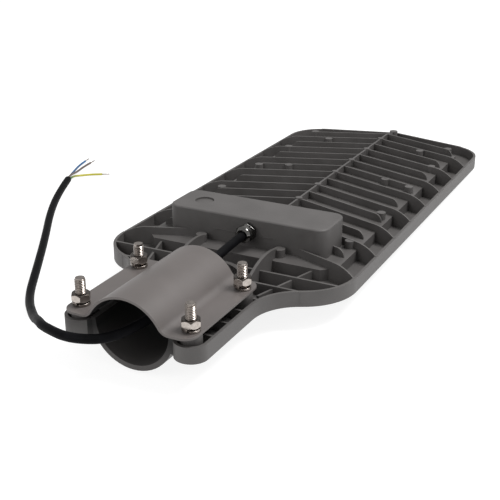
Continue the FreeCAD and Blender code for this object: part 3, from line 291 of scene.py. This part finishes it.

# %% [markdown]
# ## Threaded clamp bolts
# The bolts stand proud of their nuts, so their threads show. One pitch of the thread's profile is
# a chain of three edges. Spinning that chain with a rise of one pitch a turn gives the whole
# helix, and its neighbouring turns meet vertex to vertex. The flanks of the thread get a slot of
# their own with a darker steel, which paints the shade in the groove.

# %% The bolts' sizes
# Each spot is a bolt's x and y and the height of its top.
BOLT_SPOTS = [(0.005, -0.045, 0.0260), (0.005, 0.045, 0.0260), (0.080, -0.045, 0.0260),
              (0.080, 0.045, 0.0246)]
PITCH = 0.00125
CREST = 0.004
ROOT = 0.00338
THREAD_LOW = -0.004
THREAD_STEPS = 20
THREAD_MERGE = 0.00001
FLANK_DEPTH = 0.0002
POINT_LENGTH = 0.0004
POINT_TAPER = 0.9
CORE_OVERLAP = 0.00002
SHANK_RADIUS = 0.00392
SHANK_INTO_HEAD = 0.0004
SHANK_INTO_THREAD = 0.0006
HEAD_LOW = -0.0139
HEAD_HEIGHT = 0.0052
HEAD_TOP = HEAD_LOW + HEAD_HEIGHT
HEAD_HALF_FLATS = 0.0065
HEAD_CORNER = HEAD_HALF_FLATS / 0.8660254
HEAD_ROUNDING = 0.0003

# Each corner of the thread's profile has its radius and its share of one pitch.
THREAD_PROFILE = [(ROOT, 0.0), (CREST, 0.42), (CREST, 0.58), (ROOT, 1.0)]

# %% One threaded bolt
def add_thread(work, x, y, top):
    """Adds a helical thread that runs out at both of its ends."""
    verts_before = set(work.verts)
    faces_before = set(work.faces)
    chain = [work.verts.new((x + radius, y, THREAD_LOW + PITCH * part))
             for radius, part in THREAD_PROFILE]
    edges = [work.edges.new(pair) for pair in zip(chain[:-1], chain[1:])]
    turns = int((top - THREAD_LOW) / PITCH) - 1
    bmesh.ops.spin(work, geom=chain + edges, cent=(x, y, 0), axis=(0, 0, 1),
                   dvec=(0, 0, PITCH / THREAD_STEPS), angle=2 * math.pi * turns,
                   steps=THREAD_STEPS * turns, use_merge=False, use_duplicate=False)
    thread = [vertex for vertex in work.verts if vertex not in verts_before]
    bmesh.ops.remove_doubles(work, verts=thread, dist=THREAD_MERGE)
    for face in work.faces:
        if face not in faces_before:
            reaches = [math.hypot(corner.co.x - x, corner.co.y - y) for corner in face.verts]
            # The flanks take the second slot, a darker steel painted as the shade in the groove.
            face.material_index = 1 if min(reaches) < CREST - FLANK_DEPTH else 0
    for vertex in work.verts:
        if vertex in verts_before:
            continue
        reach = Vector((vertex.co.x - x, vertex.co.y - y, 0))
        at_point = ROOT + max(0.0, top - POINT_LENGTH - vertex.co.z) * POINT_TAPER
        at_start = ROOT + max(0.0, vertex.co.z - THREAD_LOW)
        allowed = min(CREST, at_point, at_start)
        if reach.length > allowed:
            reach *= allowed / reach.length
            vertex.co.x = x + reach.x
            vertex.co.y = y + reach.y


def add_rod(work, x, y, low, high, radius, segments=40):
    """Adds an upright rod from one height to another."""
    place = Matrix.Translation((x, y, (low + high) / 2))
    return bmesh.ops.create_cone(work, cap_ends=True, segments=segments, radius1=radius,
                                 radius2=radius, depth=high - low, matrix=place)


def add_bolt(work, x, y, top):
    """Adds one hexagon bolt with a helical thread at a place on the clamp."""
    add_thread(work, x, y, top)
    add_rod(work, x, y, HEAD_TOP - SHANK_INTO_HEAD, THREAD_LOW + SHANK_INTO_THREAD, SHANK_RADIUS)
    add_rod(work, x, y, THREAD_LOW, top, ROOT + CORE_OVERLAP)
    head = add_rod(work, x, y, HEAD_LOW, HEAD_TOP, HEAD_CORNER, segments=6)
    rim = {edge for vertex in head["verts"] for edge in vertex.link_edges}
    bmesh.ops.bevel(work, geom=list(rim), offset=HEAD_ROUNDING, segments=2, affect="EDGES",
                    profile=0.5, material=-1)


# %% The four bolts
BOLT_SHARP_ANGLE = math.radians(28)
bolt_mesh = bpy.data.meshes.new("threaded_bolts")
bolt_work = bmesh.new()
for x, y, top in BOLT_SPOTS:
    add_bolt(bolt_work, x, y, top)
bmesh.ops.recalc_face_normals(bolt_work, faces=bolt_work.faces)
for face in bolt_work.faces:
    face.smooth = True
for edge in bolt_work.edges:
    edge.smooth = edge.calc_face_angle(0.0) < BOLT_SHARP_ANGLE
bolt_work.to_mesh(bolt_mesh)
bolt_work.free()
bolts = add_object("threaded_bolts", bolt_mesh)
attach(bolts, "root")
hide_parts("clamp_bolts")
print("bolt faces", len(bolt_mesh.polygons))

# %% [markdown]
# ## Finishes
# Powder coat, bright screws, rubber and plastic all share one thing: nothing on them is perfectly
# even. Two small node groups make that unevenness, one as a height for the bump and one as a
# shift between two colours, and each material sets its own scale and strength. A third group
# makes a mask that grows along one axis, for a finish that changes from one place to another.

# %% Helpers for nodes
# A Mix node holds sockets for every kind of value, so its colour sockets are found by number.
MIX_COLOUR_A = 6
MIX_COLOUR_B = 7
MIX_COLOUR_OUT = 2
WHITE = (1.0, 1.0, 1.0, 1.0)


def add_node(tree, kind, x, y, **values):
    """Adds a node at a place in its tree and sets its options."""
    node = tree.nodes.new(kind)
    node.location = (x, y)
    for name, value in values.items():
        setattr(node, name, value)
    return node


def set_inputs(node, **values):
    """Sets plain values on a node's inputs, with _ for a space in an input's name."""
    for name, value in values.items():
        node.inputs[name.replace("_", " ")].default_value = value


def join(tree, source, output, target, socket):
    """Links an output of one node to an input of another."""
    tree.links.new(source.outputs[output], target.inputs[socket])


def shader_of(material):
    """A material's own shader."""
    return material.node_tree.nodes["Principled BSDF"]


# %% Surface grain, as a height
grain = bpy.data.node_groups.new("surface grain", "ShaderNodeTree")
for socket in ("Scale", "Softness"):
    grain.interface.new_socket(socket, in_out="INPUT", socket_type="NodeSocketFloat")
grain.interface.new_socket("Height", in_out="OUTPUT", socket_type="NodeSocketFloat")
grain_in = add_node(grain, "NodeGroupInput", -700, 0)
grain_place = add_node(grain, "ShaderNodeTexCoord", -700, -200)
grain_noise = add_node(grain, "ShaderNodeTexNoise", -450, 0)
set_inputs(grain_noise, Detail=4.0)
grain_out = add_node(grain, "NodeGroupOutput", 100, 0)
join(grain, grain_place, "Object", grain_noise, "Vector")
join(grain, grain_in, "Scale", grain_noise, "Scale")
join(grain, grain_in, "Softness", grain_noise, "Roughness")
join(grain, grain_noise, "Fac", grain_out, "Height")
print("grain nodes", len(grain.nodes))

# %% Colour mottle, with a roughness that swings with it
mottle = bpy.data.node_groups.new("colour mottle", "ShaderNodeTree")
for socket in ("Dark", "Light"):
    mottle.interface.new_socket(socket, in_out="INPUT", socket_type="NodeSocketColor")
for socket in ("Scale", "Rough", "Swing"):
    mottle.interface.new_socket(socket, in_out="INPUT", socket_type="NodeSocketFloat")
mottle.interface.new_socket("Color", in_out="OUTPUT", socket_type="NodeSocketColor")
mottle.interface.new_socket("Roughness", in_out="OUTPUT", socket_type="NodeSocketFloat")
mottle_in = add_node(mottle, "NodeGroupInput", -900, 0)
mottle_place = add_node(mottle, "ShaderNodeTexCoord", -900, -260)
mottle_noise = add_node(mottle, "ShaderNodeTexNoise", -650, 0)
set_inputs(mottle_noise, Detail=6.0)
mottle_spread = add_node(mottle, "ShaderNodeMapRange", -420, 0)
set_inputs(mottle_spread, From_Min=0.35, From_Max=0.65)
mottle_mix = add_node(mottle, "ShaderNodeMix", -180, 120, data_type="RGBA")
mottle_swing = add_node(mottle, "ShaderNodeMath", -180, -160, operation="MULTIPLY_ADD")
mottle_out = add_node(mottle, "NodeGroupOutput", 120, 0)
join(mottle, mottle_place, "Object", mottle_noise, "Vector")
join(mottle, mottle_in, "Scale", mottle_noise, "Scale")
join(mottle, mottle_noise, "Fac", mottle_spread, "Value")
join(mottle, mottle_spread, "Result", mottle_mix, "Factor")
join(mottle, mottle_in, "Dark", mottle_mix, MIX_COLOUR_A)
join(mottle, mottle_in, "Light", mottle_mix, MIX_COLOUR_B)
join(mottle, mottle_mix, MIX_COLOUR_OUT, mottle_out, "Color")
join(mottle, mottle_spread, "Result", mottle_swing, 0)
join(mottle, mottle_in, "Swing", mottle_swing, 1)
join(mottle, mottle_in, "Rough", mottle_swing, 2)
join(mottle, mottle_swing, "Value", mottle_out, "Roughness")
print("mottle nodes", len(mottle.nodes))

# %% A mask along an axis
along = bpy.data.node_groups.new("mask along an axis", "ShaderNodeTree")
along.interface.new_socket("Axis", in_out="INPUT", socket_type="NodeSocketVector")
for socket in ("Start", "Stop"):
    along.interface.new_socket(socket, in_out="INPUT", socket_type="NodeSocketFloat")
along.interface.new_socket("Mask", in_out="OUTPUT", socket_type="NodeSocketFloat")
along_in = add_node(along, "NodeGroupInput", -700, 0)
along_place = add_node(along, "ShaderNodeTexCoord", -700, -260)
along_reach = add_node(along, "ShaderNodeVectorMath", -450, -100, operation="DOT_PRODUCT")
along_spread = add_node(along, "ShaderNodeMapRange", -200, 0)
along_out = add_node(along, "NodeGroupOutput", 60, 0)
join(along, along_place, "Object", along_reach, 0)
join(along, along_in, "Axis", along_reach, 1)
join(along, along_reach, "Value", along_spread, "Value")
join(along, along_in, "Start", along_spread, "From Min")
join(along, along_in, "Stop", along_spread, "From Max")
join(along, along_spread, "Result", along_out, "Mask")
print("mask nodes", len(along.nodes))

# %% A finish from grain and mottle
GRAIN_SOFTNESS = 0.6


def finish(name, dark, light, rough, swing=0.06, mottle_scale=60.0, grain_scale=1200.0,
           bump=0.15, depth=0.0001, metallic=0.0):
    """A material whose colour, roughness and height all vary a little over the surface."""
    material = bpy.data.materials.new(name)
    material.use_nodes = True
    tree = material.node_tree
    shader = shader_of(material)
    set_inputs(shader, Metallic=metallic)
    colours = add_node(tree, "ShaderNodeGroup", -500, 200, node_tree=mottle)
    set_inputs(colours, Dark=(*dark, 1.0), Light=(*light, 1.0), Scale=mottle_scale, Rough=rough,
               Swing=swing)
    heights = add_node(tree, "ShaderNodeGroup", -700, -200, node_tree=grain)
    set_inputs(heights, Scale=grain_scale, Softness=GRAIN_SOFTNESS)
    relief = add_node(tree, "ShaderNodeBump", -400, -200)
    set_inputs(relief, Strength=bump, Distance=depth)
    join(tree, colours, "Color", shader, "Base Color")
    join(tree, colours, "Roughness", shader, "Roughness")
    join(tree, heights, "Height", relief, "Height")
    join(tree, relief, "Normal", shader, "Normal")
    return material


X_AXIS = (1.0, 0.0, 0.0)
Z_AXIS = (0.0, 0.0, 1.0)


def tint_along(material, axis, start, stop, tint, blend="MIX"):
    """Brings a tint into a material's colour, from none of it at start to all of it at stop."""
    tree = material.node_tree
    shader = shader_of(material)
    mask = add_node(tree, "ShaderNodeGroup", -500, 560, node_tree=along)
    set_inputs(mask, Axis=axis, Start=start, Stop=stop)
    mix = add_node(tree, "ShaderNodeMix", -250, 320, data_type="RGBA", blend_type=blend)
    mix.inputs[MIX_COLOUR_B].default_value = (*tint, 1.0)
    join(tree, mask, "Mask", mix, "Factor")
    colour_so_far = shader.inputs["Base Color"].links[0].from_socket
    tree.links.new(colour_so_far, mix.inputs[MIX_COLOUR_A])
    join(tree, mix, MIX_COLOUR_OUT, shader, "Base Color")


# %% Coats
powder_coat = finish("dark powder coat", (0.062, 0.058, 0.056), (0.078, 0.073, 0.071), rough=0.50,
                     swing=0.08, mottle_scale=40.0, grain_scale=900.0, bump=0.30, depth=0.00025)
saddle_coat = finish("satin saddle coat", (0.088, 0.078, 0.074), (0.102, 0.090, 0.086),
                     rough=0.42, swing=0.05, mottle_scale=30.0, grain_scale=1500.0, bump=0.12)
# A darker coat as painted shade inside the clamp: it grows darker deeper into the clamp along x,
# and darker higher up the walls than at the bottom.
painted_shade_coat = finish("painted shade inside the clamp", (0.060, 0.056, 0.055), (0.074, 0.070, 0.068),
                     rough=0.62, swing=0.05, mottle_scale=40.0, grain_scale=900.0, bump=0.30,
                     depth=0.00025)
tint_along(painted_shade_coat, X_AXIS, start=-0.002, stop=0.043, tint=(0.05, 0.05, 0.05),
           blend="MULTIPLY")
tint_along(painted_shade_coat, Z_AXIS, start=-0.024, stop=-0.006, tint=(0.12, 0.12, 0.12),
           blend="MULTIPLY")
set_inputs(shader_of(painted_shade_coat), Specular_IOR_Level=0.25)

# %% Metals
# A finish for small turned and plated pieces has a fine grain that hardly lifts the surface.
FINE_METAL = {"mottle_scale": 400.0, "grain_scale": 2500.0, "bump": 0.10, "depth": 0.00004,
              "metallic": 1.0}
bright_steel = finish("bright steel", (0.24, 0.212, 0.192), (0.33, 0.295, 0.27), rough=0.20,
                      swing=0.08, **FINE_METAL)
# A brighter steel for the nuts' sides, as painted light.
painted_light_nut_steel = finish("nut sides with painted light", (0.38, 0.345, 0.315), (0.50, 0.455, 0.42), rough=0.16,
                   swing=0.08, **FINE_METAL)
# A darker steel, painted as the shade in the thread's grooves and on the nuts' tops.
painted_shade_steel = finish("steel in painted shade", (0.055, 0.047, 0.042), (0.10, 0.087, 0.078), rough=0.30,
                      swing=0.10, **FINE_METAL)
gland_nickel = finish("gland nickel", (0.13, 0.127, 0.122), (0.18, 0.176, 0.17), rough=0.07,
                      swing=0.04, mottle_scale=200.0, grain_scale=900.0, bump=0.02,
                      depth=0.00004, metallic=1.0)
copper = finish("bare copper", (0.25, 0.22, 0.2), (0.5, 0.44, 0.4), rough=0.3, swing=0.1,
                mottle_scale=900.0, grain_scale=3000.0, bump=0.1, depth=0.00004, metallic=1.0)
driver_metal = finish("driver shell", (0.42, 0.43, 0.44), (0.5, 0.51, 0.52), rough=0.35,
                      swing=0.1, mottle_scale=80.0, bump=0.08, metallic=0.9)

# %% Rubber and plastic
seal_black = finish("seal rubber", (0.008, 0.008, 0.008), (0.016, 0.016, 0.016), rough=0.62)
gasket_grey = finish("gasket foam", (0.045, 0.045, 0.045), (0.075, 0.075, 0.075), rough=0.8,
                     swing=0.05, mottle_scale=300.0, grain_scale=1500.0, bump=0.4, depth=0.0003)
jacket_black = finish("cable jacket", (0.0025, 0.0025, 0.003), (0.005, 0.005, 0.006), rough=0.46,
                      swing=0.10, mottle_scale=90.0, grain_scale=700.0, bump=0.12, depth=0.00012)
set_inputs(shader_of(jacket_black), Specular_IOR_Level=0.04)
brown_sheath = finish("brown sheath", (0.075, 0.052, 0.045), (0.11, 0.08, 0.07), rough=0.42)
blue_sheath = finish("blue sheath", (0.012, 0.065, 0.16), (0.02, 0.1, 0.24), rough=0.42)
board_white = finish("board mask", (0.72, 0.73, 0.72), (0.8, 0.81, 0.8), rough=0.3)
phosphor = finish("lamp phosphor", (0.78, 0.55, 0.08), (0.88, 0.66, 0.16), rough=0.35)
plug_cream = finish("plug nylon", (0.6, 0.58, 0.52), (0.68, 0.66, 0.6), rough=0.4)
lead_red = finish("lead jacket", (0.28, 0.02, 0.015), (0.36, 0.03, 0.02), rough=0.4)

# %% [markdown]
# ## The earth core's two colours
# An earth core is yellow with a green stripe. The stripe wanders round the core, so from above
# one length looks green and the next looks yellow. A slow band across the core's own place gives
# the same impression.

# %% Earth sheath
ALL_YELLOW_X = 0.304
ALL_GREEN_X = 0.290
STRIPE_GREEN = (0.02, 0.10, 0.035)
earth_sheath = finish("earth sheath", (0.34, 0.31, 0.02), (0.4, 0.37, 0.03), rough=0.42)
tint_along(earth_sheath, X_AXIS, start=ALL_YELLOW_X, stop=ALL_GREEN_X, tint=STRIPE_GREEN)

# %% [markdown]
# ## The lens panel
# The panel on the underside is a clear moulding with one dome over each lamp. Glass needs plain
# values on the shader, so what varies over it is only a faint tint, roughness and ripple.

# %% Clear moulding
lens_clear = finish("clear moulding", (0.92, 0.94, 0.95), (0.95, 0.97, 0.98), rough=0.06,
                    swing=0.03, mottle_scale=50.0, grain_scale=60.0, bump=0.03, depth=0.0002)
set_inputs(shader_of(lens_clear), Transmission_Weight=0.92, IOR=1.49)

# %% [markdown]
# ## Painted shade inside the clamp
# The half-pipe, its lip at the mouth and the underside of the saddle are in the dark. The faces
# that look into the clamp get a second slot with a darker coat, which paints that shade into their
# colour. The nuts get a second slot too: their tops wear a darker steel as painted shade, and
# their sides a brighter steel as painted light.

# %% Faces that look into the clamp
LIP_FRONT_X = -0.003
LIP_HALF_WIDTH = 0.0362
LIP_LOW_Z = -0.036
PLANE_SLACK = 0.0004
SQUARE_ON = 0.9
HALF_TURNED = 0.5


def looks_into_clamp(face, reach_x, radius, middle_z):
    """Whether a face is part of the lip, or near the pole's axis and turned towards it."""
    x, y, z = face.center
    normal = face.normal
    by_lip = (LIP_FRONT_X < x < reach_x and abs(y) < LIP_HALF_WIDTH
              and LIP_LOW_Z < z < PLANE_SLACK)
    top_of_lip = normal.z > SQUARE_ON and z > -PLANE_SLACK
    front_of_lip = normal.x < -SQUARE_ON and x < PLANE_SLACK
    side_of_lip = normal.y * y < -HALF_TURNED * abs(y) and x < PLANE_SLACK
    if by_lip and (top_of_lip or front_of_lip or side_of_lip):
        return True
    inward = Vector((0.0, -y, middle_z - z))
    near = x < reach_x and inward.length < radius
    return near and normal.dot(inward.normalized()) > HALF_TURNED


# %% Two ways to finish a piece
def wear(piece, material):
    """Gives a piece one material."""
    piece.data.materials.clear()
    piece.data.materials.append(material)


def second_slot(piece, material, belongs):
    """Adds a second material to a piece and gives it the faces that belong to it."""
    piece.data.materials.append(material)
    faces = [face for face in piece.data.polygons if belongs(face)]
    for face in faces:
        face.material_index = 1
    print(piece.name, "faces in the second slot", len(faces))


# %% Give every new piece its finish
wear(casting, powder_coat)
wear(saddle, saddle_coat)
wear(nuts, painted_light_nut_steel)
wear(washers, bright_steel)
wear(bolts, bright_steel)
wear(cap_nut, gland_nickel)
wear(gland, gland_nickel)
wear(cable, jacket_black)
wear(cores["core_brown"], brown_sheath)
wear(cores["core_blue"], blue_sheath)
wear(cores["core_earth"], earth_sheath)
for tip in tips.values():
    wear(tip, copper)

# %% Give some faces a second finish
TURNED_UP = 0.35
# The clamp's inner faces and its lip take the darker coat, as painted shade.
second_slot(casting, painted_shade_coat,
            lambda face: looks_into_clamp(face, reach_x=0.098, radius=0.0312, middle_z=0.0))
second_slot(saddle, painted_shade_coat,
            lambda face: looks_into_clamp(face, reach_x=0.100, radius=0.0325, middle_z=-0.0075))
# The nuts' tops, turned up, take the darker steel as painted shade.
second_slot(nuts, painted_shade_steel, lambda face: face.normal.z > TURNED_UP)

# The bolts' flanks were given their slot when the thread was made.
# Its darker steel is painted shade in the groove.
bolts.data.materials.append(painted_shade_steel)

# %% Give the model's own nodes their finishes
node_finishes = {
    "gland_o_ring": seal_black, "gland_seal": seal_black, "lead_grommet": seal_black,
    "gland_locknut": gland_nickel, "led_board": board_white, "led_chips": phosphor,
    "board_screws": bright_steel, "board_connector": plug_cream, "led_lead": lead_red,
    "lens_panel": lens_clear, "lens_gasket": gasket_grey, "cover_gasket": gasket_grey,
    "lens_screws": bright_steel, "driver_case": driver_metal, "driver_screws": bright_steel,
    "cover_screws": bright_steel, "cover_plate": powder_coat,
}
for name, material in node_finishes.items():
    for slot in nodes[name].material_slots:
        slot.material = material
print("finishes", len(bpy.data.materials))

# %% [markdown]
# ## Ground, light and air
# The photograph is a studio picture on white. One wide lamp above the far right lights the tops,
# a weaker one fills the front, and the world gives the soft light all round. The floor glows a
# little by itself, like a light table, so the head throws only a faint shadow. What the camera
# sees past the floor's edge is plain white, so the floor has no horizon line.

# %% Floor
FLOOR_HALF_SIZE = 6.0
FLOOR_GAP = 0.0002
PAPER_GREY = (0.25, 0.25, 0.25, 1)
ground_mesh = bpy.data.meshes.new("ground")
ground_work = bmesh.new()
bmesh.ops.create_grid(ground_work, x_segments=1, y_segments=1, size=FLOOR_HALF_SIZE)
for vertex in ground_work.verts:
    vertex.co.z = on_ground(vertex.co.x, vertex.co.y, -FLOOR_GAP).z
ground_work.to_mesh(ground_mesh)
ground_work.free()
ground = add_object("ground", ground_mesh)
paper = bpy.data.materials.new("white paper")
paper.use_nodes = True
set_inputs(shader_of(paper), Base_Color=PAPER_GREY, Roughness=0.9, Emission_Color=WHITE,
           Emission_Strength=0.85)
ground.data.materials.append(paper)
print("floor faces", len(ground_mesh.polygons))

# %% Air
world = bpy.data.worlds.new("studio")
bpy.context.scene.world = world
world.use_nodes = True
air = world.node_tree
air_glow = air.nodes["Background"]
set_inputs(air_glow, Color=WHITE, Strength=0.6)
backdrop_glow = add_node(air, "ShaderNodeBackground", 0, -200)
set_inputs(backdrop_glow, Color=WHITE, Strength=1.0)
ray_kind = add_node(air, "ShaderNodeLightPath", 0, 400)
air_mix = add_node(air, "ShaderNodeMixShader", 250, 0)
join(air, ray_kind, "Is Camera Ray", air_mix, "Fac")
join(air, air_glow, "Background", air_mix, 1)
join(air, backdrop_glow, "Background", air_mix, 2)
join(air, air_mix, "Shader", air.nodes["World Output"], "Surface")
bpy.context.scene.view_settings.view_transform = "Standard"

# %% Lamps
def softbox(name, spot, aim, size, power):
    """A square area lamp aimed at a point, with its power in watts."""
    data = bpy.data.lights.new(name, "AREA")
    data.shape = "SQUARE"
    data.size = size
    data.energy = power
    lamp = add_object(name, data)
    lamp.location = spot
    lamp.rotation_euler = (Vector(aim) - Vector(spot)).to_track_quat("-Z", "Y").to_euler()


softbox("top light", spot=(0.42, -0.62, 1.25), aim=(0.2, 0.0, 0.0), size=0.6, power=22.0)
softbox("front fill", spot=(-1.1, 0.5, 0.7), aim=(0.1, 0.0, 0.0), size=0.8, power=5.5)
print("lamps", len(bpy.data.lights))
